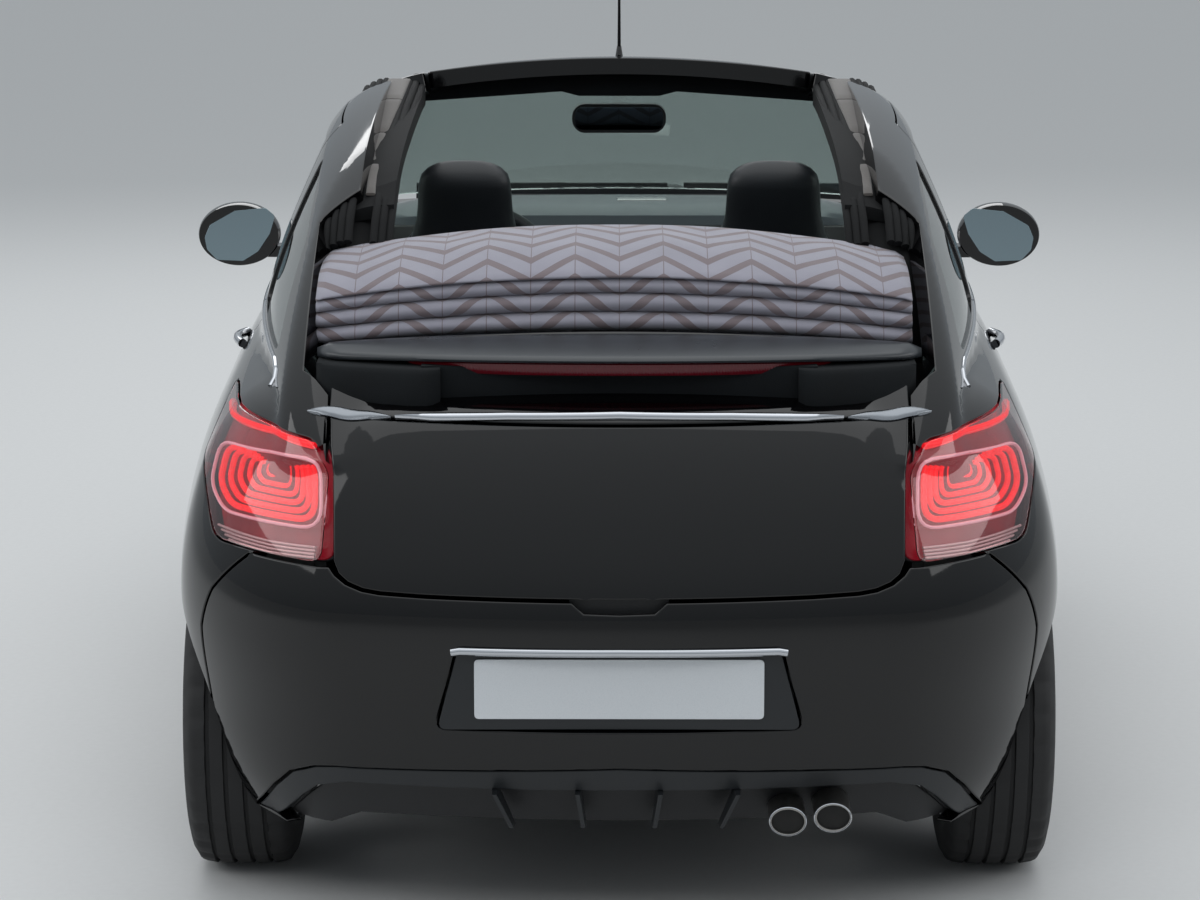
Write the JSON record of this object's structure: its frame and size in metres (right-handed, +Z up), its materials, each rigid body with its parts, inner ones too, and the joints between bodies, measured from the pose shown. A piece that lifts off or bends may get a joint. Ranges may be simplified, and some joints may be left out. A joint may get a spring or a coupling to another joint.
{
  "type": "open-top three-door hatchback",
  "caption": "Small three-door hatchback with a fabric roof folded open behind the seats, opening doors, bonnet and boot lid, steered front wheels and a bare number plate.",
  "frame": {"origin": "on the ground under the middle of the bounding box", "axes": "+X forward, +Y to the car's left, +Z up"},
  "size_m": [3.9492, 1.9946, 1.6349],
  "materials": {
    "paint": "gloss black paint under clear lacquer",
    "floor_steel": "satin black underseal",
    "black_steel": "satin black paint",
    "strut_steel": "satin black paint",
    "engine": "cast metal",
    "tank_plastic": "matt moulded",
    "exhaust_steel": "polished tips",
    "black_plastic": "satin grained",
    "lamp_clear": "clear gloss",
    "lamp_red": "clear gloss",
    "tinted_glass": "tinted",
    "dash_plastic": "soft grained",
    "seat_leather": "fine grained",
    "roof_fabric": "woven, zigzag bands",
    "black_fabric": "woven",
    "plate_white": "gloss",
    "chrome_trim": "polished",
    "knuckle_iron": "as cast",
    "tyre_rubber": "matt",
    "wheel_alloy": "painted silver"
  },
  "bodies": {
    "body": {"floor_pan": "floor_steel", "front_structure": "floor_steel", "front_subframe": "black_steel", "front_struts": "strut_steel", "engine_block": "engine", "fuel_tank": "tank_plastic", "exhaust": "exhaust_steel", "rear_axle": "black_steel", "body_side_left": "paint", "body_side_right": "paint", "windscreen_header": "paint", "cowl_panel": "black_plastic", "rear_deck": "paint", "front_wing_left": "paint", "front_wing_right": "paint", "front_bumper": "paint", "grille": "black_plastic", "headlamps": "lamp_clear", "rear_bumper": "paint", "rear_valance": "black_plastic", "tail_lamps": "lamp_red", "windscreen": "tinted_glass", "quarter_glass": "tinted_glass", "dashboard": "dash_plastic", "front_seat_left": "seat_leather", "front_seat_right": "seat_leather", "rear_seat": "seat_leather", "folded_rear_panel": "black_fabric", "roof_spoiler": "paint", "high_brake_lamp": "lamp_red", "folded_roof": "roof_fabric", "roof_tracks": "black_plastic", "number_plate": "plate_white", "aerial": "black_plastic", "interior_mirror": "black_plastic", "wipers": "black_plastic"},
    "door_left": {"door_left": "paint", "door_glass_left": "tinted_glass", "mirror_left": "paint", "handle_left": "chrome_trim"},
    "door_right": {"door_right": "paint", "door_glass_right": "tinted_glass", "mirror_right": "paint", "handle_right": "chrome_trim"},
    "bonnet": {"bonnet": "paint"},
    "boot_lid": {"boot_lid": "paint"},
    "steering_wheel": {"steering_wheel": "dash_plastic"},
    "knuckle_left": {"knuckle_left": "knuckle_iron"},
    "knuckle_right": {"knuckle_right": "knuckle_iron"},
    "wheel_front_left": {"tyre_front_left": "tyre_rubber", "rim_front_left": "wheel_alloy"},
    "wheel_front_right": {"tyre_front_right": "tyre_rubber", "rim_front_right": "wheel_alloy"},
    "wheel_rear_left": {"tyre_rear_left": "tyre_rubber", "rim_rear_left": "wheel_alloy"},
    "wheel_rear_right": {"tyre_rear_right": "tyre_rubber", "rim_rear_right": "wheel_alloy"}
  },
  "joints": [
    {"name": "steer_left", "type": "hinge", "parent": "body", "child": "knuckle_left", "pos_m": [1.184, 0.68, 0.308], "axis": [0, 0, 1], "range_deg": [-30, 30]},
    {"name": "steer_right", "type": "hinge", "parent": "body", "child": "knuckle_right", "pos_m": [1.184, -0.68, 0.308], "axis": [0, 0, 1], "range_deg": [-30, 30]},
    {"name": "steering_wheel_turn", "type": "hinge", "parent": "body", "child": "steering_wheel", "pos_m": [0.26, 0.33, 0.905], "axis": [-0.9063, 0, 0.4226], "range_deg": [-480, 480]},
    {"name": "wheel_front_left_spin", "type": "hinge", "parent": "knuckle_left", "child": "wheel_front_left", "pos_m": [1.184, 0.7325, 0.308], "axis": [0, 1, 0], "continuous": true},
    {"name": "wheel_front_right_spin", "type": "hinge", "parent": "knuckle_right", "child": "wheel_front_right", "pos_m": [1.184, -0.7325, 0.308], "axis": [0, 1, 0], "continuous": true},
    {"name": "wheel_rear_left_spin", "type": "hinge", "parent": "body", "child": "wheel_rear_left", "pos_m": [-1.28, 0.728, 0.308], "axis": [0, 1, 0], "continuous": true},
    {"name": "wheel_rear_right_spin", "type": "hinge", "parent": "body", "child": "wheel_rear_right", "pos_m": [-1.28, -0.728, 0.308], "axis": [0, 1, 0], "continuous": true},
    {"name": "door_left_hinge", "type": "hinge", "parent": "body", "child": "door_left", "pos_m": [0.686, 0.852, 0.6], "axis": [0, 0, -1], "range_deg": [0, 65]},
    {"name": "door_right_hinge", "type": "hinge", "parent": "body", "child": "door_right", "pos_m": [0.686, -0.852, 0.6], "axis": [0, 0, 1], "range_deg": [0, 65]},
    {"name": "bonnet_hinge", "type": "hinge", "parent": "body", "child": "bonnet", "pos_m": [0.934, 0, 1.06], "axis": [0, -1, 0], "range_deg": [0, 50]},
    {"name": "boot_lid_hinge", "type": "hinge", "parent": "body", "child": "boot_lid", "pos_m": [-1.854, 0, 0.978], "axis": [0, 1, 0], "range_deg": [0, 75]}
  ],
  "couplings": [
    {"joint": "steer_right", "follows": "steer_left", "ratio": 1},
    {"joint": "steering_wheel_turn", "follows": "steer_left", "ratio": 16}
  ]
}
